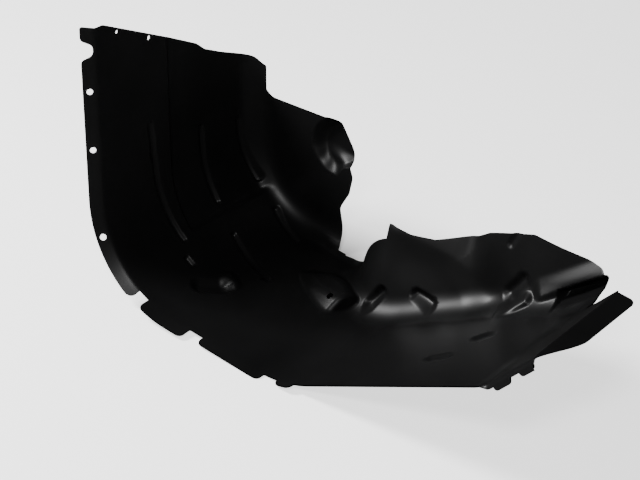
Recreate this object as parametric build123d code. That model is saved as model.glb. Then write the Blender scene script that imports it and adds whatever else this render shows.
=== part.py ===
from build123d import *
import math
import os

# Splash shield for a front wheel arch: one thin moulded sheet, lying with the crown of its arch downwards.
# X runs along the arch, from the straight leg to the short end.
# Y runs inboard, along the wheel's axle. Z is up.
# All sizes are in millimetres.

# Turn about Y that lays the crown on its flat
REST_TURN = 9.6

# Sheet and arch
SHEET = 2.0
ARCH_CORNERS = [(86, 450), (86, 84), (384, 18), (686, 120), (752, 181)]
ARCH_RADII = [150, 160, 60]
WIDTH = 332
HEEL_RADIUS = 30
LID = 620
END_RUN = 250
REACH = 60
SECTOR_STEPS = 12
TIP_RATIO = 0.35
TIP_LENGTH = 0.7
EDGE_ROUND = 15
OVERCUT = 1
CLOSE = 0.5

# Outer flange along the leg
FLANGE_BEND = 45
FLANGE_WIDTH = 19
FLANGE_END = 384
FLANGE_END_ROUND = 11
FLANGE_HOLES = [91, 174, 298]
FLANGE_HOLE_DIA = 9
FLANGE_HOLE_OUT = 9.5
EAR_NOTCH = (24, 44)
EAR_NOTCH_OUT = 2.5
EAR_NOTCH_ROUND = 6

# Tabs on the outer edge of the crown: start, end and length of each
TABS = [(402, 477, 22), (500, 604, 15), (626, 652, 10)]
TAB_BEND = 4
TAB_CORNER = 8

# Short tabs turned down near the short end
LIP_DROP = 14
LIPS = [(964, 994), (1010, 1036)]

# Leg top edge and its two holes
LEG_TOP = [
    (-40, 455), (4, 445.5), (18, 446), (143, 393), (212, 362), (230, 348.5), (267, 333), (322, 313),
    (334, 292), (350, 262), (380, 250),
]
TOP_HOLES = [(43.6, 429, 6), (106.3, 402.5, 7)]

# Set back panel and pressed beads
PANEL_EDGE = 146
PANEL_DEPTH = 6
PANEL_STEP = 345
PANEL_INNER = 318
BEAD_WIDTH = 9
BEAD_DEPTH = 5
# Start, end, lateral position and turn of each bead
BEADS = [
    (168, 357, 112, -6),
    (373, 393, 106, 0),
    (212, 332, 220, -2),
    (228, 331, 308, -8),
    (375, 480, 193, 18),
    (374, 447, 298, 18),
]

# Inner wall beside the leg, cut away for the strut
WALL_EDGE = [
    (110, 262), (118, 252), (224, 242), (234, 226), (250, 198),
    (262, 160), (256, 134), (240, 108), (248, 60), (264, 20),
]
STRUT_EDGE_Y = 313
BOWL_CENTRE = (235, 203)
BOWL_RADIUS = 44
BOWL_DEPTH = 18
BOWL_CHAMFER = 11
BOWL_RIB = ((214, 180), (270, 150))
BOWL_RIB_RADIUS = 12

# Bulge round the strut tower
BULGE_X = 325
BULGE_Y = 212
BULGE_LEAN = 19
BULGE_CORNER = 65
BULGE_FOOT = 20
BULGE_EDGE = [
    (320, 112), (372, 147), (408, 140), (446, 141), (505, 158),
    (526, 171), (592, 186), (645, 180), (706, 174), (716, 140),
]
CHEEK_EDGE = [(322, 36), (277, 82), (252, 140)]
HOLLOW = ((412, 110), (452, 106))
HOLLOW_RADIUS = 60
HOLLOW_DEPTH = 7
GROOVE = ((492, 134), (545, 89))
GROOVE_RADIUS = 20
GROOVE_DEPTH = 11
# Ends of each small pocket at the foot of the bulge, as X and height on the leaning face
FOOT_POCKETS = [((382, 56), (370, 38)), ((436, 66), (462, 60)), ((590, 126), (574, 102))]
FOOT_POCKET_RADIUS = 11
FOOT_POCKET_DEPTH = 8
# Ridges on the leaning face, the shelf first: both ends and the height
RIDGES = [((622, 118), (712, 172), 9), ((568, 79), (610, 112), 7)]
RIDGE_ROOT = 12
SHELF_POCKET = [(650, 112), (708, 150), (708, 164), (650, 130)]
SHELF_POCKET_Y = 266

# Wedge raised beside the strut cut-out: corners of its top, and run of each side per unit of fall
PAD_PLAN = [(246, 235), (301, 202), (338, 200), (345, 213), (318, 240), (280, 250)]
PAD_RUNS = [1.3, 1.3, 0.2, 1.0, 1.5, 1.5]
PAD_TOP = 50
PAD_FOOT = 15
PAD_HOLE = (320, 197)
PAD_HOLE_DIA = 9

# Dimples pressed into the crown: station and lateral position of both ends, radius and depth
DIMPLES = [(424, 88, 444, 114, 17, 8), (848, 150, 856, 160, 12, 4), (818, 84, 834, 92, 12, 4)]

# Short end
END_FLANGE_WIDTH = 28
END_FLANGE_FALL = 12
END_FLANGE_Y = (4, 208)
END_FLANGE_TAPER = 70
END_CORNER = (708, 212)


def unit(vector):
    size = math.hypot(*vector)
    return (vector[0] / size, vector[1] / size)


def offset_corners(out):
    """Corners of the arch moved away from the wheel by out."""
    tangents = [unit((b[0] - a[0], b[1] - a[1])) for a, b in zip(ARCH_CORNERS, ARCH_CORNERS[1:])]
    normals = [(t[1], -t[0]) for t in tangents]
    moved = []
    for i, (x, z) in enumerate(ARCH_CORNERS):
        n1 = normals[max(i - 1, 0)]
        n2 = normals[min(i, len(normals) - 1)]
        k = out / (1 + n1[0] * n2[0] + n1[1] * n2[1])
        moved.append((x + (n1[0] + n2[0]) * k, z + (n1[1] + n2[1]) * k))
    return moved


def at(x, z, y=0):
    return Vector(x, y, z)


def arch_edges(out, start=None, end=None):
    """Lines and tangent arcs of the arch, moved out from the wheel."""
    corners = offset_corners(out)
    if start:
        corners[0] = start
    if end:
        corners[-1] = end
    edges = []
    last = corners[0]
    for i, radius in enumerate(ARCH_RADII, 1):
        corner = corners[i]
        a = unit((corners[i - 1][0] - corner[0], corners[i - 1][1] - corner[1]))
        b = unit((corners[i + 1][0] - corner[0], corners[i + 1][1] - corner[1]))
        half = math.acos(a[0] * b[0] + a[1] * b[1]) / 2
        r = radius + out
        run = r / math.tan(half)
        middle = unit((a[0] + b[0], a[1] + b[1]))
        dip = r / math.sin(half) - r
        p = (corner[0] + a[0] * run, corner[1] + a[1] * run)
        m = (corner[0] + middle[0] * dip, corner[1] + middle[1] * dip)
        q = (corner[0] + b[0] * run, corner[1] + b[1] * run)
        edges.append(Line(at(*last), at(*p)))
        edges.append(ThreePointArc(at(*p), at(*m), at(*q)))
        last = q
    edges.append(Line(at(*last), at(*corners[-1])))
    return edges


def arch_face(out):
    """Wheel side of the arch as a flat region, closed by a lid far above it."""
    corners = offset_corners(out)
    way = unit((ARCH_CORNERS[-1][0] - ARCH_CORNERS[-2][0], ARCH_CORNERS[-1][1] - ARCH_CORNERS[-2][1]))
    start = (corners[0][0], LID)
    end = (corners[-1][0] + way[0] * END_RUN, corners[-1][1] + way[1] * END_RUN)
    edges = arch_edges(out, start, end)
    edges.append(Line(at(*end), at(end[0], LID)))
    edges.append(Line(at(end[0], LID), at(*start)))
    return make_face(edges)


SPINE = Wire(arch_edges(0))


def station(s):
    """Point, direction of travel and direction away from the wheel at a length along the arch."""
    p = SPINE.position_at(s, position_mode=PositionMode.LENGTH)
    t = SPINE.tangent_at(s, position_mode=PositionMode.LENGTH)
    return p, t, Vector(t.Z, 0, -t.X)


def along_y(face, y1, y2):
    return extrude(Pos(0, y1, 0) * face, amount=y2 - y1, dir=(0, 1, 0))


def sector(s1, s2, y1, y2, reach=REACH):
    """Block that holds the arch between two stations."""
    stops = [station(s1 + (s2 - s1) * i / SECTOR_STEPS) for i in range(SECTOR_STEPS + 1)]
    ring = [p + n * reach for p, t, n in stops] + [p - n * REACH / 2 for p, t, n in reversed(stops)]
    return along_y(make_face(Polyline(*ring, close=True)), y1, y2)


def outline(edge, rest):
    """Flat region beyond an edge with rounded corners, closed by points well clear of the sheet."""
    visible = FilletPolyline(*edge, radius=EDGE_ROUND)
    return make_face([*visible.edges(), *Polyline(edge[-1], *rest, edge[0]).edges()])


def cut_xz(edge, rest, y1, y2):
    return along_y(Plane.XZ * outline(edge, rest), y1, y2)


def cut_yz(edge, rest, x1, x2):
    return extrude(Pos(x1, 0, 0) * (Plane.YZ * outline(edge, rest)), amount=x2 - x1, dir=(1, 0, 0))


def cone(bend, length, grow):
    """Wheel side of a flange bent outwards from the arch's outer edge."""
    beta = math.radians(bend)
    y1 = grow * math.tan(beta / 2)
    y2 = -length * math.cos(beta)
    out = length * math.sin(beta) + grow / math.cos(beta)
    if not grow:
        y2 -= OVERCUT
        out += OVERCUT * math.tan(beta)
    return loft([Pos(0, y1, 0) * arch_face(grow), Pos(0, y2, 0) * arch_face(out)], ruled=True)


def bead(s1, s2, y, turn, grow):
    """Groove pressed away from the wheel, turned a little about the sheet's normal."""
    p, t, n = station((s1 + s2) / 2)
    half = BEAD_WIDTH / 2 + grow
    depth = BEAD_DEPTH + grow
    if y > PANEL_EDGE and s2 < PANEL_STEP:
        depth += PANEL_DEPTH
    groove = along_y(arch_face(depth), y - half, y + half) & sector(s1 - grow, s2 + grow, y - half, y + half)
    return groove.rotate(Axis(p + Vector(0, y, 0), n), turn)


def face_y(height, grow=0):
    """Lateral position of the bulge's leaning face at a height."""
    lean = math.radians(BULGE_LEAN)
    return BULGE_Y + height * math.tan(lean) + grow / math.cos(lean)


def bulge(grow):
    """Strut tower: a block that leans back from the wheel, with one rounded corner."""
    deep = 3 * WIDTH
    profile = [(face_y(-LID, grow), -LID), (face_y(LID, grow), LID), (deep, LID), (deep, -LID)]
    side = make_face(Polyline(*[Vector(BULGE_X + grow, y, z) for y, z in profile], close=True))
    block = extrude(side, amount=2 * LID, dir=(1, 0, 0))
    corner = block.edges().sort_by(lambda e: e.center().X + e.center().Y)[0]
    return fillet(corner, BULGE_CORNER - grow)


def bar(p, q, radius):
    """Round bar between two points, tapered beyond each of them."""
    tip = radius * TIP_RATIO
    run = radius * TIP_LENGTH
    stand = (Align.CENTER, Align.CENTER, Align.MIN)
    shape = Plane(p, z_dir=q - p) * Cylinder(radius, (q - p).length, align=stand)
    shape += Plane(q, z_dir=q - p) * Cone(radius, tip, run, align=stand)
    shape += Plane(p, z_dir=p - q) * Cone(radius, tip, run, align=stand)
    return shape


def on_face(point, toward_wheel=0):
    """Point on the bulge's leaning face, lifted off it towards the wheel."""
    lean = math.radians(BULGE_LEAN)
    x, z = point
    return Vector(x, face_y(z) - toward_wheel * math.cos(lean), z + toward_wheel * math.sin(lean))


def face_press(ends, radius, depth, grow):
    """Rounded hollow pressed into the bulge's leaning face."""
    return bar(on_face(ends[0], radius - depth), on_face(ends[1], radius - depth), radius + grow)


def ridge(p, q, height, grow):
    """Ridge with two sloping sides that stands off the bulge's leaning face."""
    foot = on_face(p)
    run = on_face(q) - foot
    wide = height + RIDGE_ROOT
    section = make_face(Polyline((0, height), (-wide, -RIDGE_ROOT), (wide, -RIDGE_ROOT), close=True))
    section = offset(section, amount=-grow) if grow else section
    place = Plane(foot, x_dir=(on_face(p, height) - foot).cross(run), z_dir=run)
    return place * (Pos(0, 0, grow) * extrude(section, amount=run.length - 2 * grow))


def dimple(s1, y1, s2, y2, radius, depth, grow):
    """Rounded hollow pressed away from the wheel in the crown."""
    ends = []
    for s, y in ((s1, y1), (s2, y2)):
        p, t, n = station(s)
        ends.append(p + n * (depth - radius) + Vector(0, y, 0))
    return bar(ends[0], ends[1], radius + grow)


def pad_ring(level, grow):
    """Corners of the wedge at a level, each side moved in by the sheet's thickness."""
    sides = []
    for p, q, run in zip(PAD_PLAN, PAD_PLAN[1:] + PAD_PLAN[:1], PAD_RUNS):
        way = unit((q[0] - p[0], q[1] - p[1]))
        n = (way[1], -way[0])
        sides.append((n, n[0] * p[0] + n[1] * p[1] + (PAD_TOP - level) * run - grow * math.hypot(1, run)))
    ring = []
    for (n1, c1), (n2, c2) in zip(sides[-1:] + sides[:-1], sides):
        size = n1[0] * n2[1] - n1[1] * n2[0]
        ring.append(Vector((c1 * n2[1] - c2 * n1[1]) / size, (c2 * n1[0] - c1 * n2[0]) / size, level))
    return make_face(Polyline(*ring, close=True))


def pad(grow):
    """Wedge beside the strut cut-out, level on top, with a long slope towards the wheel."""
    return loft([pad_ring(PAD_FOOT, grow), pad_ring(PAD_TOP - grow, grow)], ruled=True)


def bowl(grow):
    """Round hollow in the inner wall, with a flat floor and a soft corner."""
    x, z = BOWL_CENTRE
    depth = BOWL_DEPTH + HEEL_RADIUS + grow
    hollow = Pos(x, WIDTH - HEEL_RADIUS, z) * Rot(-90, 0, 0) * Cylinder(
        BOWL_RADIUS + grow, depth, align=(Align.CENTER, Align.CENTER, Align.MIN)
    )
    hollow = chamfer(hollow.edges().sort_by(Axis.Y)[-1], BOWL_CHAMFER)
    floor = WIDTH + BOWL_DEPTH
    rib = bar(at(*BOWL_RIB[0], floor), at(*BOWL_RIB[1], floor), BOWL_RIB_RADIUS - grow)
    return hollow - rib


def shelf_pocket(grow):
    """Pocket under the shelf at the short end of the bulge."""
    mouth = make_face(Polyline(*[at(x, z) for x, z in SHELF_POCKET], close=True))
    mouth = offset(mouth, amount=grow) if grow else mouth
    return along_y(mouth, BULGE_Y, SHELF_POCKET_Y + grow)


def void(grow):
    """Space on the wheel side of the sheet, grown by the sheet's thickness for its back."""
    space = along_y(arch_face(grow), -REACH, WIDTH + grow)
    low = [e for e in space.edges() if e.center().Z < LID - OVERCUT]
    heel = [e for e in low if abs(e.center().Y - WIDTH - grow) < CLOSE]
    space = fillet(heel, HEEL_RADIUS + grow)
    space += bowl(grow)
    space -= bulge(grow)
    low = [e for e in space.edges() if e.center().Z < LID - OVERCUT and e.center().X > BULGE_X + BULGE_CORNER]
    foot = [e for e in low if abs(e.center().Y - face_y(e.center().Z, grow)) < CLOSE]
    space = fillet(foot, BULGE_FOOT + grow)
    space -= pad(grow)
    panel = along_y(arch_face(PANEL_DEPTH + grow), PANEL_EDGE - grow, PANEL_INNER + grow)
    space += panel & sector(0, PANEL_STEP + grow, 0, WIDTH, 2 * REACH)
    for s1, s2, y, turn in BEADS:
        space += bead(s1, s2, y, turn, grow)
    for ends in FOOT_POCKETS:
        space += face_press(ends, FOOT_POCKET_RADIUS, FOOT_POCKET_DEPTH, grow)
    space += face_press(HOLLOW, HOLLOW_RADIUS, HOLLOW_DEPTH, grow)
    space += face_press(GROOVE, GROOVE_RADIUS, GROOVE_DEPTH, grow)
    space += shelf_pocket(grow)
    for p, q, height in RIDGES:
        space -= ridge(p, q, height, grow)
    for values in DIMPLES:
        space += dimple(*values, grow)
    return space


def flange_frame(s, out):
    """Plane on the leg flange at a station, out from the fold."""
    p, t, n = station(s)
    beta = math.radians(FLANGE_BEND)
    way = n * math.sin(beta) - Vector(0, 1, 0) * math.cos(beta)
    return Plane(p + way * out, x_dir=t, z_dir=t.cross(way))


def bent_strip(bend, length):
    """Strip bent outwards all along the arch's outer edge."""
    strip = cone(bend, length, SHEET) - cone(bend, length, 0)
    return strip - along_y(arch_face(0), -OVERCUT, REACH)


def leg_flange():
    strip = bent_strip(FLANGE_BEND, FLANGE_WIDTH) & sector(0, FLANGE_END, -REACH, REACH)
    s1, s2 = EAR_NOTCH
    gap = flange_frame((s1 + s2) / 2, EAR_NOTCH_OUT + FLANGE_WIDTH)
    slot = RectangleRounded(s2 - s1, 2 * FLANGE_WIDTH, EAR_NOTCH_ROUND)
    strip -= gap * extrude(slot, amount=REACH / 2, both=True)
    r = FLANGE_END_ROUND
    corner = Rectangle(2 * r, 2 * r, align=(Align.MIN, Align.MIN)) - Circle(r)
    strip -= flange_frame(FLANGE_END - r, FLANGE_WIDTH - r) * extrude(corner, amount=REACH / 2, both=True)
    for s in FLANGE_HOLES:
        strip -= flange_frame(s, FLANGE_HOLE_OUT) * Cylinder(FLANGE_HOLE_DIA / 2, REACH / 2)
    return strip


def crown_tabs():
    tabs = []
    for s1, s2, length in TABS:
        p, t, n = station((s1 + s2) / 2)
        plan = extrude(RectangleRounded(s2 - s1, 2 * length, TAB_CORNER), amount=REACH, both=True)
        tabs.append(bent_strip(TAB_BEND, length) & (Plane(p, x_dir=t, z_dir=n) * plan))
    return tabs


def lips():
    ring = along_y(arch_face(LIP_DROP), 0, SHEET) - along_y(arch_face(0), -OVERCUT, REACH)
    return [ring & sector(s1, s2, -REACH, REACH) for s1, s2 in LIPS]


def end_flange():
    """Strip turned away from the wheel along the short end."""
    p, t, n = station(SPINE.length)
    fall = math.radians(END_FLANGE_FALL)
    way = Vector(math.cos(fall), 0, -math.sin(fall))
    down = Vector(way.Z, 0, -way.X)
    inner = p + (n + down) * (SHEET / (1 + n.dot(down)))
    tip = p + way * END_FLANGE_WIDTH
    ring = [p, tip, tip + down * SHEET, inner]
    strip = along_y(make_face(Polyline(*ring, close=True)), *END_FLANGE_Y)
    y = END_FLANGE_Y[0]
    wedge = [(p.X, y - OVERCUT), (tip.X + SHEET, y + END_FLANGE_TAPER), (tip.X + SHEET, y - OVERCUT)]
    return strip - extrude(make_face(Polyline(*wedge, close=True)), amount=LID, dir=(0, 0, 1))


def trim(sheet):
    """Outline of the moulding: leg top, inner wall, bulge, short end and outer edge."""
    high = 2 * LID
    above = [(WIDTH + REACH, high), (-2 * REACH, high)]
    sheet -= cut_yz(LEG_TOP, above, -REACH, WALL_EDGE[0][0] + HEEL_RADIUS / 2)
    x = BULGE_X + SHEET
    beyond = [(WALL_EDGE[-1][0], -LID), (x, -LID), (x, high), (WALL_EDGE[0][0], high)]
    sheet -= cut_xz(WALL_EDGE, beyond, STRUT_EDGE_Y, high)
    above = [(high, BULGE_EDGE[-1][1]), (high, high), (BULGE_EDGE[0][0], high)]
    sheet -= cut_xz(BULGE_EDGE, above, STRUT_EDGE_Y - REACH, high)
    above = [(CHEEK_EDGE[-1][0], LID), (LID, LID), (LID, CHEEK_EDGE[0][1])]
    sheet -= cut_yz(CHEEK_EDGE, above, BULGE_X - REACH, BULGE_EDGE[1][0])
    corner = Box(high, high, high, align=(Align.MIN, Align.MIN, Align.CENTER))
    sheet -= Pos(END_CORNER[0], END_CORNER[1], 0) * corner
    p, t, n = station(SPINE.length)
    sheet -= Plane(p, z_dir=t) * Box(2 * high, 2 * high, high, align=(Align.CENTER, Align.CENTER, Align.MIN))
    sheet -= Box(2 * high, high, 2 * high, align=(Align.CENTER, Align.MAX, Align.CENTER))
    return sheet


def build():
    sheet = trim(void(SHEET) - void(0))
    for piece in [leg_flange(), end_flange()] + crown_tabs() + lips():
        sheet += piece
    for y, z, dia in TOP_HOLES:
        sheet -= Pos(ARCH_CORNERS[0][0], y, z) * Rot(0, 90, 0) * Cylinder(dia / 2, REACH)
    x, y = PAD_HOLE
    sheet -= Pos(x, y, PAD_TOP) * Cylinder(PAD_HOLE_DIA / 2, REACH / 2)
    return sheet


os.makedirs("parts", exist_ok=True)
shield = Rot(0, -REST_TURN, 0) * build()
box = shield.bounding_box()
shield = Pos(-box.center().X, -box.center().Y, -box.min.Z) * shield
export_step(shield, "parts/splash_shield.step")
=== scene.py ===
import itertools
import math

import bpy
import numpy as np
from mathutils import Matrix, Vector


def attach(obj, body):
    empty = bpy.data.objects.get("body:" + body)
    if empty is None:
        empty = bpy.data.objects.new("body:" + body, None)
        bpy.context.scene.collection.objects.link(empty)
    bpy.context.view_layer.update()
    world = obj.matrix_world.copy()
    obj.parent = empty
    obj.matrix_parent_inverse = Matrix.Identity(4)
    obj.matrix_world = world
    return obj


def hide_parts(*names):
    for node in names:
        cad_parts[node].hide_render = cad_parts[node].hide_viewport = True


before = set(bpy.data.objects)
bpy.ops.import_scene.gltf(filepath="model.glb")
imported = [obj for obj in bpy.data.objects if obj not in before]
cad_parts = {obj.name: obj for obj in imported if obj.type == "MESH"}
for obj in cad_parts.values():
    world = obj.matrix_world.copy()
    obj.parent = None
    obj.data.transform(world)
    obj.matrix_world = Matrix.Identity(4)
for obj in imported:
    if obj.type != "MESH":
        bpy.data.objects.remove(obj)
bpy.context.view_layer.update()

# Arch frame, in millimetres, to row frame, in metres: the arch lies turned about Y, on the flat of its crown
REST_TURN = math.radians(9.6)
SHIFT = np.array([0.36648, 0.16503, 0.08077])
MM_PER_M = 1000

# Sizes of the shield in millimetres, in its arch frame: X along the arch, Y inboard, Z up
SHEET = 2.0
# Corners of the arch in X and Z, the radius at each inner corner, its length before zero and its last length
ARCH = [(86, 620), (86, 84), (384, 18), (686, 120), (752, 181), (850, 160.2)]
ARCH_RADII = [150, 160, 60, 4]
LEG_START = 170
ARCH_END = 1039.4
WIDTH = 332
HEEL = 35
# Rounds of trimmed edges, along them and where two of them meet
EDGE_ROUND = 15
EDGE_CORNER = 4

# Flange along the leg, with its ear, notch and holes, by length along the arch
FLANGE_START = -300
FLANGE_END = 384
FLANGE_WIDTH = 19
FLANGE_BEND = math.radians(45)
FLANGE_END_ROUND = 11
FLANGE_HOLES = [91, 174, 298]
FLANGE_HOLE_RADIUS = 4.5
FLANGE_HOLE_OUT = 9.5
EAR_NOTCH = (24, 44)
EAR_NOTCH_OUT = 2
EAR_NOTCH_FLARE = 0.45
EAR_NOTCH_ROUND = 5
# Tabs on the crown's outer edge: start and end along the arch, and reach
TABS = [(402, 477, 22), (500, 604, 15), (626, 652, 10)]
TAB_BEND = math.radians(4)
TAB_CORNER = 8
# Turned-down tabs near the short end: start and end along the arch
LIPS = [(964, 994), (1010, 1036)]
LIP_DROP = 14
LIP_SLOPE = 5
LIP_CORNER = 6
# Where the folds of the outer edge fade past the ends of the flange and the lips, and their round
FOLD_FADE = (4, 14)
LIP_FADE = (8, 20)
FOLD_ROUND = 3

# Top edge of the leg in Y and Z, and its holes: Y, Z and radius
LEG_TOP = [
    (-40, 455), (4, 445.5), (18, 446), (143, 393), (212, 362), (230, 348.5), (267, 333), (322, 313),
    (334, 292), (350, 262), (380, 250),
]
TOP_HOLES = [(43.6, 429, 3), (106.3, 402.5, 3.5)]

# Set-back panel: two edges in Y, one along the arch, and the start and end of the step at each edge
PANEL_DEPTH = 6
PANEL_EDGE = 146
PANEL_EDGE_STEP = (-5, 5)
PANEL_INNER = 318
PANEL_INNER_STEP = (-8, 10)
PANEL_LOWER = 345
PANEL_LOWER_STEP = (-7, 6)
# Beads: start and end along the arch, Y, and turn in degrees
BEADS = [
    (168, 357, 112, -6), (373, 393, 106, 0), (212, 332, 220, -2),
    (228, 331, 308, -8), (375, 480, 193, 18), (374, 447, 298, 18),
]
BEAD_WIDTH = 9
BEAD_DEPTH = 5
BEAD_OUTSIDE = 2.5
BEAD_INSIDE = 3
# Dimples: both ends as length along the arch and Y, radius, and depth, which is below zero for a bump
DIMPLES = [
    (424, 88, 444, 114, 17, 8), (848, 150, 856, 160, 12, 3),
    (818, 84, 834, 92, 12, 3), (434, 134, 448, 126, 15, -5),
]
DIMPLE_RIM = 2
DIMPLE_FLAT = 0.15

# Inner wall: the strut cut-out's edge in X and Z, the bowl and its rib
WALL_EDGE = [
    (110, 262), (118, 252), (224, 242), (234, 226), (250, 198),
    (262, 160), (256, 134), (240, 108), (248, 60), (264, 20),
]
STRUT_EDGE_Y = 313
BOWL_CENTRE = (235, 203)
BOWL_RADIUS = 44
BOWL_DEPTH = 18
BOWL_RIM = 2
BOWL_SIDE = 17.6
BOWL_RIB = ((206, 188), (272, 164))
BOWL_RIB_RADIUS = 18
BOWL_RIB_HEIGHT = 14
# Share of the rib's height at its first end, and share of its length over which it rises
BOWL_RIB_START = 0.2
BOWL_RIB_RISE = 0.8

# Bulge at the foot of the strut tower, with its upper edge in X and Z
BULGE_X = 325
BULGE_Y = 212
BULGE_LEAN = math.radians(19)
BULGE_CORNER = 65
BULGE_FOOT = 31
BULGE_EDGE = [
    (320, 112), (372, 147), (408, 140), (446, 141), (505, 158),
    (526, 171), (592, 186), (645, 180), (706, 174), (716, 140),
]
BULGE_EDGE_Y = 253
# Spread of the bulge's left side below a height
BULGE_FLARE = 0.16
BULGE_FLARE_TOP = 125
# Edge of the bulge's left side in Y and Z, and the stretch in X that it trims
CHEEK_EDGE = [(322, 36), (277, 82), (252, 140)]
CHEEK_X = (265, 372)
# Presses in the leaning face: both ends in X and Z, half width above and below, and depth at each end
PRESSES = [
    ((412, 110), (452, 106), (48, 48), (3, 3)),
    ((494, 129), (546, 88), (52, 36), (2, 7)),
    ((382, 56), (370, 38), (12, 12), (8, 8)),
    ((436, 66), (462, 60), (12, 12), (8, 8)),
    ((590, 126), (574, 104), (14, 14), (6, 6)),
]
# Shelf, gusset and a short dent on the leaning face: ends and half widths as above, and height at each end
RIDGES = [
    ((618, 116), (712, 172), (24, 11), (5, 9)),
    ((568, 79), (610, 112), (11, 9), (7, 7)),
    ((570, 186), (559, 163), (8, 8), (-2, -2)),
]
# Fall of the leaning face from the lobe to the groove, between four places in X
LOBE_FALL = 6
LOBE_FALL_X = (370, 500, 545, 640)
# Crease in X and Z above which the leaning face falls back, its slope and round, and four places in X
CREASE = [(371, 142), (410, 137), (444, 132), (477, 126), (504, 116)]
CREASE_FALL = 0.3
CREASE_ROUND = 4
CREASE_X = (335, 365, 490, 530)
# Pocket under the shelf in X and Z, its depth, and the start and end of the step at its edge
SHELF_POCKET = [(650, 112), (708, 150), (708, 164), (650, 130)]
SHELF_POCKET_DEPTH = 16
SHELF_POCKET_STEP = (-5, 6)

# Wedge beside the strut cut-out: its top's plan in X and Y, and the run of each side for each unit of fall
WEDGE_PLAN = [(246, 229), (301, 202), (338, 200), (345, 213), (318, 240), (280, 250)]
WEDGE_RUNS = [1.3, 1.3, 0.2, 1.0, 1.5, 1.5]
WEDGE_TOP = 50
WEDGE_ROUND = 6
WEDGE_FOOT = 4
WEDGE_HOLE = (320, 197)
WEDGE_HOLE_RADIUS = 4.5

# Tapered strip at the short end, and the corner cut off above it in X and Y
STRIP_WIDTH = 28
STRIP_ROUND = 10
STRIP_Y = (4, 208)
STRIP_TAPER = 70
END_CORNER = (708, 212)

# Grid for the mesh: its cell, the cells in a coarse block, the distance worked out, and its X, Y and Z
CELL = 2.0
BLOCK = 4
BAND = 2 * BLOCK * CELL
GRID = [(48, 802), (-36, 372), (-6, 474)]
CORNERS = list(itertools.product((0, 1), repeat=3))
CELLS_ROUND_LINE = [(-1, -1), (0, -1), (0, 0), (-1, 0)]
# Flat stretches with fewer points: cells in a block, its largest bend in degrees, and distance from edges
FLAT_BLOCKS = [(8, 0.6), (4, 1.2), (2, 2.5)]
CLEAR = 12
# Lengths beyond the shield, past its edges and too small to matter, and points on each rounded corner
FAR = 1200
OVERLAP = 60
TINY = 1e-6
ARC_POINTS = 6


def turned(v):
    """Directions in the arch frame, turned to the row frame."""
    c, s = math.cos(REST_TURN), math.sin(REST_TURN)
    v = np.asarray(v, float)
    return np.stack([v[..., 0] * c - v[..., 2] * s, v[..., 1], v[..., 0] * s + v[..., 2] * c], -1)


def to_row(points):
    """Points in the arch frame, in millimetres, to the row frame, in metres."""
    return turned(points) / MM_PER_M - SHIFT


def arch_pieces():
    """Lines and tangent arcs of the arch: start, end, centre, radius, way of turning and length so far."""
    corners = np.array(ARCH, float)
    pieces, last, run = [], corners[0], -LEG_START
    for i, radius in enumerate(ARCH_RADII, 1):
        a, b = corners[i - 1] - corners[i], corners[i + 1] - corners[i]
        a, b = a / np.hypot(*a), b / np.hypot(*b)
        half = np.arccos(a @ b) / 2
        p, q = corners[i] + a * radius / np.tan(half), corners[i] + b * radius / np.tan(half)
        centre = corners[i] + (a + b) / np.hypot(*(a + b)) * radius / np.sin(half)
        pieces.append((last, p, None, 0, 0, run))
        run += np.hypot(*(p - last))
        left = -a[0] * b[1] + a[1] * b[0]
        pieces.append((p, q, centre, radius, np.sign(left), run))
        run += radius * (np.pi - 2 * half)
        last = q
    pieces.append((last, corners[-1], None, 0, 0, run))
    return pieces


PIECES = arch_pieces()


def arch_place(x, z):
    """Length along the arch and distance away from the wheel at points of the XZ plane."""
    best = np.full(x.shape, np.inf)
    s_out, d_out = np.zeros(x.shape), np.zeros(x.shape)
    for p, q, centre, radius, way, run in PIECES:
        if centre is None:
            t = (q - p) / np.hypot(*(q - p))
            along = (x - p[0]) * t[0] + (z - p[1]) * t[1]
            d = (x - p[0]) * t[1] - (z - p[1]) * t[0]
            past = np.maximum(np.maximum(-along, along - np.hypot(*(q - p))), 0)
            far = np.hypot(d, past)
        else:
            a = np.arctan2(p[1] - centre[1], p[0] - centre[0])
            turn = (np.arctan2(z - centre[1], x - centre[0]) - a) * way
            turn = (turn + np.pi) % (2 * np.pi) - np.pi
            along = turn * radius
            d = (np.hypot(x - centre[0], z - centre[1]) - radius) * way
            b = (np.arctan2(q[1] - centre[1], q[0] - centre[0]) - a) * way
            far = np.where((turn >= 0) & (turn <= b % (2 * np.pi)), np.abs(d), np.inf)
        take = far < best
        best = np.where(take, far, best)
        s_out = np.where(take, run + along, s_out)
        d_out = np.where(take, d, d_out)
    return s_out, d_out


def ramp(low, high, v):
    """Smooth step from 0 at the low value to 1 at the high one."""
    t = np.clip((v - low) / (high - low), 0, 1)
    return t * t * (3 - 2 * t)


def plateau(places, v):
    """Smooth step up between the first two places and down between the last two."""
    return ramp(places[0], places[1], v) * ramp(-places[3], -places[2], -v)


def meet(a, b, r):
    """Both regions at once, with the edge between them rounded."""
    u, v = np.maximum(a + r, 0), np.maximum(b + r, 0)
    return np.where((u > 0) & (v > 0), np.hypot(u, v) - r, np.maximum(a, b))


def to_line(u, v, p, q):
    """Distance to the straight line between two points."""
    du, dv = q[0] - p[0], q[1] - p[1]
    t = np.clip(((u - p[0]) * du + (v - p[1]) * dv) / max(du * du + dv * dv, TINY), 0, 1)
    return np.hypot(u - p[0] - t * du, v - p[1] - t * dv)


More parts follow.
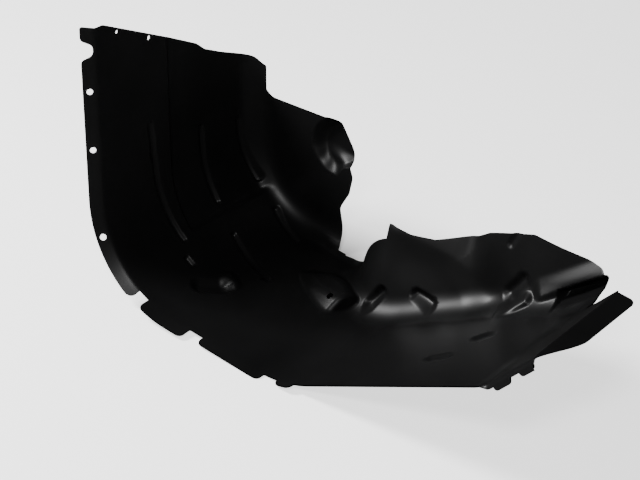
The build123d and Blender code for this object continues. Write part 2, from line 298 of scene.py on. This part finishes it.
def beside(u, v, p, q, inset=0):
    """Distance to the line between two points, place along it, and side: 1 on its left, -1 on its right."""
    p, q = np.array(p, float), np.array(q, float)
    run = (q - p) / math.dist(p, q)
    along = np.clip(((u - p[0]) * run[0] + (v - p[1]) * run[1]) / math.dist(p, q), 0, 1)
    far = to_line(u, v, p + run * inset, q - run * inset)
    side = (run[0] * (v - p[1]) - run[1] * (u - p[0])) / np.maximum(far, TINY)
    return far, along, np.clip(side, -1, 1)


def to_outline(u, v, points):
    """Distance outside a closed outline, negative inside it."""
    far, inside = np.full(u.shape, np.inf), np.zeros(u.shape, bool)
    for p, q in zip(points, points[1:] + points[:1]):
        far = np.minimum(far, to_line(u, v, p, q))
        if p[1] != q[1]:
            across = (p[1] > v) != (q[1] > v)
            inside ^= across & (u < (q[0] - p[0]) * (v - p[1]) / (q[1] - p[1]) + p[0])
    return np.where(inside, -far, far)


def rounded(edge):
    """Edge with curves at its corners, as short straight runs."""
    out = [edge[0]]
    for before, corner, after in zip(edge, edge[1:], edge[2:]):
        a = np.subtract(before, corner) / math.dist(before, corner)
        b = np.subtract(after, corner) / math.dist(after, corner)
        half = math.acos(max(-1, min(1, float(a @ b)))) / 2
        run = EDGE_ROUND / math.tan(half)
        p, q = corner + a * run, corner + b * run
        for k in np.linspace(0, 1, ARC_POINTS):
            out.append(tuple((1 - k) ** 2 * p + 2 * k * (1 - k) * np.array(corner) + k * k * q))
    return out + [edge[-1]]


def box_in(u, v, u_ends, v_ends, r):
    """Distance inside a box with rounded corners."""
    a = np.abs(u - sum(u_ends) / 2) - (u_ends[1] - u_ends[0]) / 2 + r
    b = np.abs(v - sum(v_ends) / 2) - (v_ends[1] - v_ends[0]) / 2 + r
    return r - np.hypot(np.maximum(a, 0), np.maximum(b, 0)) - np.minimum(np.maximum(a, b), 0)


def set_back(s, y):
    """Depth of the panel, beads and dimples, and the fall of the flange and tabs, away from the wheel."""
    out = PANEL_DEPTH * ramp(*PANEL_EDGE_STEP, y - PANEL_EDGE)
    out = out * ramp(*PANEL_LOWER_STEP, PANEL_LOWER - s) * ramp(*PANEL_INNER_STEP, PANEL_INNER - y)
    for s1, s2, side, turn in BEADS:
        c, n = math.cos(math.radians(turn)), math.sin(math.radians(turn))
        mid, half = (s1 + s2) / 2, (s2 - s1) / 2 - BEAD_WIDTH / 2
        far = to_line(s, y, (mid - half * c, side + half * n), (mid + half * c, side - half * n))
        out = out + BEAD_DEPTH * ramp(-BEAD_WIDTH / 2 - BEAD_OUTSIDE, -BEAD_WIDTH / 2 + BEAD_INSIDE, -far)
    for s1, y1, s2, y2, radius, depth in DIMPLES:
        far = to_line(s, y, (s1, y1), (s2, y2))
        out = out + depth * ramp(-radius - DIMPLE_RIM, -radius * DIMPLE_FLAT, -far)
    start, full = FOLD_FADE
    slope = math.tan(FLANGE_BEND) * ramp(-FLANGE_END - full, -FLANGE_END - start, -s)
    slope = slope + math.tan(TAB_BEND) * ramp(FLANGE_END + start, FLANGE_END + full, s)
    first, last = LIPS[0][0], LIPS[-1][1]
    lips = ramp(first - LIP_FADE[1], first - LIP_FADE[0], s) * ramp(-last - full, -last - start, -s)
    fold = (np.sqrt(y * y + FOLD_ROUND ** 2) - y) / 2
    return out + (slope + LIP_SLOPE * lips) * fold


def wall_place(x, z):
    """Lateral place of the inner wall, with its bowl and rib."""
    far = np.hypot(x - BOWL_CENTRE[0], z - BOWL_CENTRE[1])
    bowl = BOWL_DEPTH * ramp(-BOWL_RADIUS - BOWL_RIM, -BOWL_RADIUS + BOWL_SIDE, -far)
    far, along, _ = beside(x, z, *BOWL_RIB)
    rise = BOWL_RIB_START + (1 - BOWL_RIB_START) * ramp(0, BOWL_RIB_RISE, along)
    rib = BOWL_RIB_HEIGHT * rise * ramp(-BOWL_RIB_RADIUS, 0, -far)
    return WIDTH + np.maximum(bowl - rib, 0)


def swell(x, z, start, end, widths, heights, inset=0):
    """Height of a rounded swelling along a line on the leaning face, inset from the line's ends."""
    lean = math.cos(BULGE_LEAN)
    ends = [(px, pz / lean) for px, pz in (start, end)]
    far, along, side = beside(x, z / lean, *ends, inset)
    width = (sum(widths) + (widths[0] - widths[1]) * side) / 2
    return (heights[0] + (heights[1] - heights[0]) * along) * ramp(-1, 0, -far / width)


def face_place(x, z):
    """Depth of the presses, falls and pocket of the bulge's leaning face, less the height of its ridges."""
    out = np.zeros(x.shape)
    for press in PRESSES:
        out = out + swell(x, z, *press)
    for ridge in RIDGES:
        out = out - swell(x, z, *ridge, inset=abs(ridge[-1][1]))
    out = out + LOBE_FALL * plateau(LOBE_FALL_X, x)
    over = z - np.interp(x, *zip(*CREASE))
    past = (np.sqrt(over * over + CREASE_ROUND ** 2) + over) / 2
    out = out + CREASE_FALL * past * plateau(CREASE_X, x)
    return out + SHELF_POCKET_DEPTH * ramp(*SHELF_POCKET_STEP, -to_outline(x, z, SHELF_POCKET))


def wedge(x, y, z):
    """Distance outside the wedge beside the strut cut-out."""
    out = z - WEDGE_TOP
    for p, q, run in zip(WEDGE_PLAN, WEDGE_PLAN[1:] + WEDGE_PLAN[:1], WEDGE_RUNS):
        size = math.dist(p, q)
        n = ((q[1] - p[1]) / size, (p[0] - q[0]) / size)
        side = (x - p[0]) * n[0] + (y - p[1]) * n[1] - (WEDGE_TOP - z) * run
        out = meet(out, side / math.hypot(1, run), WEDGE_ROUND)
    return out


def space(x, y, z, s, d):
    """Wheel side of the sheet: below zero in the wheel's space, above zero behind the sheet."""
    f = meet(d - set_back(s, y), y - wall_place(x, z), HEEL)
    face = (BULGE_Y + z * math.tan(BULGE_LEAN) - y) * math.cos(BULGE_LEAN) + face_place(x, z)
    left = BULGE_X - BULGE_FLARE * np.maximum(BULGE_FLARE_TOP - z, 0)
    f = meet(f, -meet(left - x, face, BULGE_CORNER), BULGE_FOOT)
    return meet(f, -wedge(x, y, z), WEDGE_FOOT)


def flange_out(y):
    """Distance out along the folded flange."""
    return -y / math.cos(FLANGE_BEND)


def outer_edge(x, y, z, s, d):
    """Distance inside the outer edge, with its flange and tabs, and below the leg's top edge."""
    out = flange_out(y)
    flange = box_in(s, out, (FLANGE_START, FLANGE_END), (-OVERLAP, FLANGE_WIDTH), FLANGE_END_ROUND)
    middle, half = sum(EAR_NOTCH) / 2, (EAR_NOTCH[1] - EAR_NOTCH[0]) / 2
    side = np.abs(s - middle) - half - EAR_NOTCH_FLARE * (out - FLANGE_WIDTH / 2)
    notch = meet(side, EAR_NOTCH_OUT - out, EAR_NOTCH_ROUND)
    edge = np.maximum(y, -meet(-flange, -notch, EDGE_CORNER))
    for s1, s2, reach in TABS:
        edge = np.maximum(edge, box_in(s, -y, (s1, s2), (-OVERLAP, reach), TAB_CORNER))
    for lip in LIPS:
        edge = np.maximum(edge, box_in(s, d, lip, (-OVERLAP, LIP_DROP), LIP_CORNER))
    top = np.interp(y, *zip(*rounded(LEG_TOP)))
    below = np.maximum(top - z, x - WALL_EDGE[0][0] - HEEL / 2)
    return -meet(-edge, -below, EDGE_CORNER)


def cut_aways(x, y, z):
    """Distance outside the strut cut-out, what is trimmed off the bulge, and the end's corner."""
    right = BULGE_X + SHEET
    strut = [(WALL_EDGE[-1][0], -FAR), (right, -FAR), (right, FAR), (WALL_EDGE[0][0], FAR)]
    above = [(FAR, BULGE_EDGE[-1][1]), (FAR, FAR), (BULGE_EDGE[0][0], FAR)]
    cheek = [(CHEEK_EDGE[-1][0], FAR), (FAR, FAR), (FAR, CHEEK_EDGE[0][1])]
    off_cheek = np.maximum(CHEEK_X[0] - x, x - CHEEK_X[1])
    return np.minimum.reduce([
        np.maximum(to_outline(x, z, rounded(WALL_EDGE) + strut), STRUT_EDGE_Y - y),
        np.maximum(to_outline(x, z, rounded(BULGE_EDGE) + above), BULGE_EDGE_Y - y),
        np.maximum(to_outline(y, z, rounded(CHEEK_EDGE) + cheek), off_cheek),
        np.maximum(END_CORNER[0] - x, END_CORNER[1] - y),
    ])


def short_end(s, y):
    """Distance inside the short end, with its tapered strip."""
    beyond = s - ARCH_END
    strip = meet(beyond - STRIP_WIDTH, y - STRIP_Y[1], STRIP_ROUND)
    taper = STRIP_Y[0] + STRIP_TAPER * beyond / STRIP_WIDTH - y
    return np.maximum(-beyond, -meet(strip, taper, STRIP_ROUND))


def off_holes(x, y, z, s):
    """Distance outside the holes."""
    edge = np.hypot(x - WEDGE_HOLE[0], y - WEDGE_HOLE[1]) - WEDGE_HOLE_RADIUS
    for place in FLANGE_HOLES:
        far = np.hypot(s - place, flange_out(y) - FLANGE_HOLE_OUT) - FLANGE_HOLE_RADIUS
        edge = np.minimum(edge, far)
    for side, height, radius in TOP_HOLES:
        far = np.hypot(y - side, z - height) - radius
        edge = np.minimum(edge, np.where(x < WALL_EDGE[0][0], far, FAR))
    return edge


def kept(x, y, z, s, d):
    """Distance inside the trimmed outline of the moulding and outside its holes."""
    edges = [outer_edge(x, y, z, s, d), cut_aways(x, y, z), short_end(s, y), off_holes(x, y, z, s)]
    return np.minimum.reduce(edges)


def space_at(points):
    """Value of the sheet's wheel side at points."""
    x, y, z = points.T
    return space(x, y, z, *arch_place(x, z))


def kept_at(points):
    """Distance inside the trimmed outline at points."""
    x, y, z = points.T
    return kept(x, y, z, *arch_place(x, z))


def slope_of(points, step=0.4):
    """Direction away from the wheel at points, with its steepness."""
    way = np.zeros(points.shape)
    for i in range(3):
        shift = np.zeros(3)
        shift[i] = step
        for sign in (1, -1):
            way[:, i] += sign * space_at(points + sign * shift)
    return way / (2 * step)


def unit(rows):
    """Directions scaled to length one."""
    return rows / np.maximum(np.linalg.norm(rows, axis=1, keepdims=True), TINY)


def corner_views(values):
    """Values at the eight corners of every cell of a grid."""
    n = [k - 1 for k in values.shape]
    return [values[i:i + n[0], j:j + n[1], k:k + n[2]] for i, j, k in CORNERS]


def space_near():
    """Grid lines, and the wheel-side value on them, worked out only in coarse blocks close to the sheet."""
    lines = [np.arange(low, high + BLOCK * CELL, CELL) for low, high in GRID]
    lines = [v[:(len(v) - 1) // BLOCK * BLOCK + 1] for v in lines]
    s, d = arch_place(*np.meshgrid(lines[0], lines[2], indexing="ij"))

    def at(i, j, k):
        return space(lines[0][i], lines[1][j], lines[2][k], s[i, k], d[i, k])

    coarse = at(*np.meshgrid(*[np.arange(0, len(v), BLOCK) for v in lines], indexing="ij"))
    views = corner_views(coarse)
    low, high = np.minimum.reduce(views), np.maximum.reduce(views)
    f = np.pad(low, ((0, 1),) * 3, mode="edge")
    near = np.pad((low < BAND) & (high > -BAND), ((0, 1),) * 3)
    for axis in range(3):
        f, near = f.repeat(BLOCK, axis), near.repeat(BLOCK, axis)
    size = tuple(slice(0, len(v)) for v in lines)
    f, near = f[size], near[size]
    for axis in range(3):
        near = near | np.roll(near, 1, axis)
    i, j, k = np.nonzero(near)
    f[i, j, k] = at(i, j, k)
    return lines, f


def skin():
    """Mesh of the sheet's wheel side: one point in each cell that it crosses."""
    lines, f = space_near()
    below = f < 0
    n = [k - 1 for k in f.shape]
    count = sum(view.astype(np.int8) for view in corner_views(below))
    cells = np.argwhere((count > 0) & (count < len(CORNERS)))
    index = np.full(n, -1, np.int32)
    index[tuple(cells.T)] = np.arange(len(cells))
    total, hits = np.zeros((len(cells), 3)), np.zeros(len(cells))
    for a in CORNERS:
        for axis in range(3):
            if a[axis]:
                continue
            b = list(a)
            b[axis] = 1
            fa, fb = f[tuple((cells + a).T)], f[tuple((cells + b).T)]
            cross = (fa < 0) != (fb < 0)
            t = np.where(cross, fa / np.where(cross, fa - fb, 1), 0)
            place = np.array(a, float) + np.outer(t, np.subtract(b, a))
            total[cross] += place[cross]
            hits += cross
    points = np.array([v[0] for v in lines]) + CELL * (cells + total / hits[:, None])
    quads = []
    for axis in range(3):
        at = np.argwhere(np.diff(below, axis=axis))
        u, v = (axis + 1) % 3, (axis + 2) % 3
        at = at[(at[:, u] > 0) & (at[:, v] > 0) & (at[:, u] < n[u]) & (at[:, v] < n[v])]
        ring = []
        for du, dv in CELLS_ROUND_LINE:
            cell = at.copy()
            cell[:, u] += du
            cell[:, v] += dv
            ring.append(index[tuple(cell.T)])
        ring = np.stack(ring, 1)
        flip = below[tuple(at.T)]
        ring[flip] = ring[flip][:, ::-1]
        quads.append(ring)
    return points, np.concatenate(quads), cells


def halves(quads):
    """Two triangles for each face with four corners."""
    return np.concatenate([quads[:, [0, 1, 2]], quads[:, [0, 2, 3]]])


def settle(points, rounds):
    """Points moved on to the sheet's wheel side."""
    for _ in range(rounds):
        way = slope_of(points)
        move = way * (space_at(points) / np.maximum((way ** 2).sum(1), TINY))[:, None]
        size = np.maximum(np.linalg.norm(move, axis=1, keepdims=True), TINY)
        points = points - move * np.minimum(1, CELL / size)
    return points


def thinned(points, faces, cells):
    """Mesh with one point for each block of cells in which the sheet is flat and clear of its edges."""
    way = unit(slope_of(points))
    stands = np.arange(len(points))
    free = np.abs(kept_at(points)) > CLEAR
    for block, bend in FLAT_BLOCKS:
        _, group = np.unique(cells // block, axis=0, return_inverse=True)
        group = group.ravel()
        count = np.bincount(group)
        mean = unit(np.stack([np.bincount(group, way[:, i]) for i in range(3)], 1))
        straight = (way * mean[group]).sum(1) > math.cos(math.radians(bend))
        whole = np.bincount(group, straight & free) == count
        first = np.full(len(count), len(points))
        np.minimum.at(first, group, np.arange(len(points)))
        middle = np.stack([np.bincount(group, points[:, i]) for i in range(3)], 1) / count[:, None]
        merge = whole[group]
        stands[merge] = first[group][merge]
        points[first[whole]] = middle[whole]
        free &= ~merge
    faces = stands[faces]
    real = (faces[:, 0] != faces[:, 1]) & (faces[:, 1] != faces[:, 2]) & (faces[:, 2] != faces[:, 0])
    used, faces = np.unique(faces[real], return_inverse=True)
    return settle(points[used], rounds=1), faces.reshape(-1, 3)


def trimmed(points, faces):
    """Triangles inside the moulding's outline, cut along it, and the new border's edges."""
    keep = kept_at(points)
    inside = keep > 0
    some = inside[faces]
    whole = faces[some.all(1)]
    mixed = faces[some.any(1) & ~some.all(1)]
    new_points, made, extra, border = [], {}, [], []

    def between(a, b):
        key = (min(a, b), max(a, b))
        if key not in made:
            t = keep[a] / (keep[a] - keep[b])
            made[key] = len(points) + len(new_points)
            new_points.append(points[a] + t * (points[b] - points[a]))
        return made[key]

    for tri in mixed.tolist():
        flags = [bool(inside[i]) for i in tri]
        turn = flags.index(True) if sum(flags) == 1 else flags.index(False)
        a, b, c = tri[turn:] + tri[:turn]
        p, q = between(a, b), between(a, c)
        if sum(flags) == 1:
            extra.append((a, p, q))
            border.append((p, q))
        else:
            extra.append((p, b, c))
            extra.append((p, c, q))
            border.append((q, p))
    points = np.concatenate([points, np.array(new_points)])
    faces = np.concatenate([whole, np.array(extra)])
    used = np.unique(faces)
    renumber = np.full(len(points), -1)
    renumber[used] = np.arange(len(used))
    return points[used], renumber[faces], renumber[np.array(border)]


def shell():
    """Both sides of the sheet and its rim, with the direction that each point faces."""
    points, quads, cells = skin()
    points, faces = thinned(settle(points, rounds=3), halves(quads), cells)
    points, faces, border = trimmed(points, faces)
    way = unit(slope_of(points))
    rear = points + SHEET * way
    a, b = border.T
    rim = np.concatenate([points[a], points[b], rear[b], rear[a]])
    out = unit(np.cross(points[b] - points[a], way[a]))
    n, m = len(points), len(border)
    k = 2 * n + np.arange(m)
    rim_quads = np.stack([k, k + 3 * m, k + 2 * m, k + m], 1)
    triangles = np.concatenate([faces, faces[:, ::-1] + n, halves(rim_quads)])
    normals = np.concatenate([-way, way, np.tile(out, (4, 1))])
    return np.concatenate([points, rear, rim]), triangles, normals


# Plastic: its reflection, roughness and two tints with their places on the ramp, and its noises
SPECULAR = 0.18
ROUGHNESS = (0.32, 0.42)
TINTS = [(0.3, (0.0038, 0.0038, 0.0039, 1)), (0.75, (0.006, 0.006, 0.0062, 1))]
CLOUD_SCALE = 9
CLOUD_DETAIL = 4
GRAIN_SCALE = 900
GRAIN_DETAIL = 2
GRAIN_STRENGTH = 0.1
GRAIN_HEIGHT = 0.0002

# Floor in metres, with its own light, and the place under the wedge where that light fades between two
# radii, as a painted shadow
FLOOR_SIZE = 30
FLOOR_COLOUR = (0.93, 0.93, 0.93, 1)
FLOOR_ROUGHNESS = 0.9
FLOOR_LIGHT = 1.6
FLOOR_LIGHT_COLOUR = (1, 1, 1, 1)
SHADE_CENTRE = (-0.11, 0.09, 0)
SHADE_RADII = (0.06, 0.16)

# Sky: its strength at the horizon and at a height, as a share of straight up
SKY_STRENGTH = (0.12, 0.3)
SKY_HEIGHT = 0.8
# Lamps in metres and watts: place, aim, size and power
LAMPS = {
    "key": ((-1.62, -0.96, 1.69), (0, 0, 0.1), (0.7, 0.6), 105),
    "high": ((0.75, -2.0, 2.1), (0, 0, 0.15), (0.45, 0.35), 42),
}

# Camera, set from the photo: angles and target in the arch frame, distance in metres, lens in millimetres
AZIMUTH = math.radians(36)
ELEVATION = math.radians(26)
TARGET = (330, 160, 150)
DISTANCE = 2.6
LENS = 108.3
SENSOR = 36


def node(tree, kind, **values):
    """New shader node with some of its inputs set. An underscore stands for a space in an input's name."""
    made = tree.nodes.new(kind)
    for name, value in values.items():
        made.inputs[name.replace("_", " ")].default_value = value
    return made


def plastic():
    """Black moulded polyethylene with a fine satin grain."""
    mat = bpy.data.materials.new("moulded_plastic")
    mat.use_nodes = True
    tree, links = mat.node_tree, mat.node_tree.links
    bsdf = tree.nodes["Principled BSDF"]
    bsdf.inputs["Specular IOR Level"].default_value = SPECULAR
    place = node(tree, "ShaderNodeTexCoord")
    cloud = node(tree, "ShaderNodeTexNoise", Scale=CLOUD_SCALE, Detail=CLOUD_DETAIL)
    grain = node(tree, "ShaderNodeTexNoise", Scale=GRAIN_SCALE, Detail=GRAIN_DETAIL)
    tint = node(tree, "ShaderNodeValToRGB")
    for i, (position, colour) in enumerate(TINTS):
        tint.color_ramp.elements[i].position = position
        tint.color_ramp.elements[i].color = colour
    rough = node(tree, "ShaderNodeMapRange", To_Min=ROUGHNESS[0], To_Max=ROUGHNESS[1])
    bump = node(tree, "ShaderNodeBump", Strength=GRAIN_STRENGTH, Distance=GRAIN_HEIGHT)
    for noise in (cloud, grain):
        links.new(place.outputs["Object"], noise.inputs["Vector"])
    links.new(cloud.outputs["Fac"], tint.inputs["Fac"])
    links.new(tint.outputs["Color"], bsdf.inputs["Base Color"])
    links.new(cloud.outputs["Fac"], rough.inputs["Value"])
    links.new(rough.outputs["Result"], bsdf.inputs["Roughness"])
    links.new(grain.outputs["Fac"], bump.inputs["Height"])
    links.new(bump.outputs["Normal"], bsdf.inputs["Normal"])
    return mat


def floor_paint():
    """Pale paint with some light of its own, which fades under the wedge as a painted shadow."""
    paint = bpy.data.materials.new("floor")
    paint.use_nodes = True
    tree, links = paint.node_tree, paint.node_tree.links
    bsdf = tree.nodes["Principled BSDF"]
    bsdf.inputs["Base Color"].default_value = FLOOR_COLOUR
    bsdf.inputs["Roughness"].default_value = FLOOR_ROUGHNESS
    bsdf.inputs["Emission Color"].default_value = FLOOR_LIGHT_COLOUR
    place = node(tree, "ShaderNodeTexCoord")
    away = node(tree, "ShaderNodeVectorMath")
    away.operation = "DISTANCE"
    away.inputs[1].default_value = SHADE_CENTRE
    near, far = SHADE_RADII
    # Painted shadow: the floor's own light dims towards the place under the wedge
    light = node(tree, "ShaderNodeMapRange", From_Min=near, From_Max=far, To_Max=FLOOR_LIGHT)
    links.new(place.outputs["Object"], away.inputs[0])
    links.new(away.outputs["Value"], light.inputs["Value"])
    links.new(light.outputs["Result"], bsdf.inputs["Emission Strength"])
    return paint


def studio():
    """Soft sky, brighter towards the top."""
    world = bpy.data.worlds.new("studio")
    world.use_nodes = True
    tree, links = world.node_tree, world.node_tree.links
    way = node(tree, "ShaderNodeTexCoord")
    parts = node(tree, "ShaderNodeSeparateXYZ")
    low, high = SKY_STRENGTH
    level = node(tree, "ShaderNodeMapRange", From_Max=SKY_HEIGHT, To_Min=low, To_Max=high)
    links.new(way.outputs["Generated"], parts.inputs["Vector"])
    links.new(parts.outputs["Z"], level.inputs["Value"])
    links.new(level.outputs["Result"], tree.nodes["Background"].inputs["Strength"])
    return world


def lamp(name, place, aim, size, power):
    """Rectangular lamp at a place, turned to what it lights."""
    data = bpy.data.lights.new(name, "AREA")
    data.shape = "RECTANGLE"
    data.size, data.size_y = size
    data.energy = power
    obj = bpy.data.objects.new(name, data)
    obj.location = place
    obj.rotation_euler = (Vector(aim) - Vector(place)).to_track_quat("-Z", "Y").to_euler()
    bpy.context.collection.objects.link(obj)


def photo_camera():
    """Camera that looks down on the open side of the arch, as in the photo."""
    camera = bpy.data.objects.new("camera", bpy.data.cameras.new("camera"))
    camera.data.sensor_width = SENSOR
    camera.data.lens = LENS
    level = math.cos(ELEVATION)
    back = Vector((math.sin(AZIMUTH) * level, -math.cos(AZIMUTH) * level, math.sin(ELEVATION)))
    right = Vector((math.cos(AZIMUTH), math.sin(AZIMUTH), 0))
    axes = Matrix([turned(v) for v in (right, back.cross(right), back)]).transposed()
    camera.matrix_world = Matrix.Translation(to_row(TARGET) + DISTANCE * turned(back)) @ axes.to_4x4()
    bpy.context.collection.objects.link(camera)
    return camera


points, triangles, normals = shell()
mesh = bpy.data.meshes.new("shield")
mesh.from_pydata(to_row(points).tolist(), [], triangles.tolist())
mesh.polygons.foreach_set("use_smooth", [True] * len(mesh.polygons))
mesh.normals_split_custom_set_from_vertices(turned(normals).tolist())
mesh.materials.append(plastic())
shield = bpy.data.objects.new("shield", mesh)
bpy.context.collection.objects.link(shield)
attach(shield, "root")
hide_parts("splash_shield")

# The pale floor is left out of mirror reflections, so that the plastic stays dark
bpy.ops.mesh.primitive_plane_add(size=FLOOR_SIZE, location=(0, 0, 0))
floor = bpy.context.object
floor.name = "floor"
floor.data.materials.append(floor_paint())
floor.visible_glossy = False

bpy.context.scene.world = studio()
for name, values in LAMPS.items():
    lamp(name, *values)
bpy.context.scene.camera = photo_camera()
